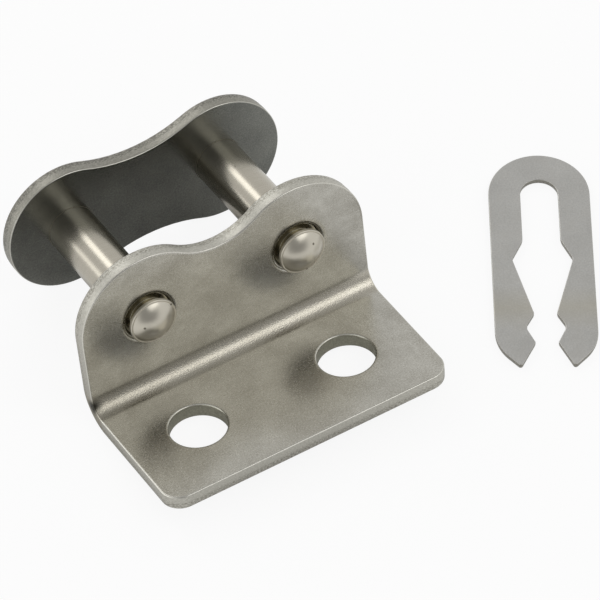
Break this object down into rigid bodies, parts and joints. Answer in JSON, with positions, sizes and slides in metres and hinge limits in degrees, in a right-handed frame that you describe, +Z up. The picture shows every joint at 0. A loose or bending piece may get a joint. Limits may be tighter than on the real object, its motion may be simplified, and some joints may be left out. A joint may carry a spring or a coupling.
{
  "type": "roller chain connecting link",
  "caption": "Roller chain connecting link whose removable front plate is bent into a flange with bolt holes, with its flat spring clip taken off beside it.",
  "frame": {"origin": "centre of the footprint of link and clip together, on the surface they lie on", "axes": "+X along the chain, from the left pin to the right pin; +Y from the flange towards the back plate, level; +Z up. The link itself rests tipped back by 10.16 degrees about X."},
  "size_m": [0.0652, 0.0442, 0.0194],
  "materials": {
    "tumbled_steel": "satin, tumbled, faintly warm grey",
    "dark_steel": "satin, darkened by heat treatment",
    "polished_steel": "ground and polished",
    "spring_steel": "rolled strip, light neutral grey"
  },
  "bodies": {
    "pin_link": {"back_plate": "dark_steel", "left_pin": "polished_steel", "right_pin": "polished_steel", "spring_clip": "spring_steel"},
    "bent_plate": {"attachment_plate": "tumbled_steel"}
  },
  "joints": [
    {"name": "plate_slide", "type": "slide", "parent": "pin_link", "child": "bent_plate", "axis": [0, -0.9843, 0.1765], "range_m": [0, 0.022]}
  ]
}
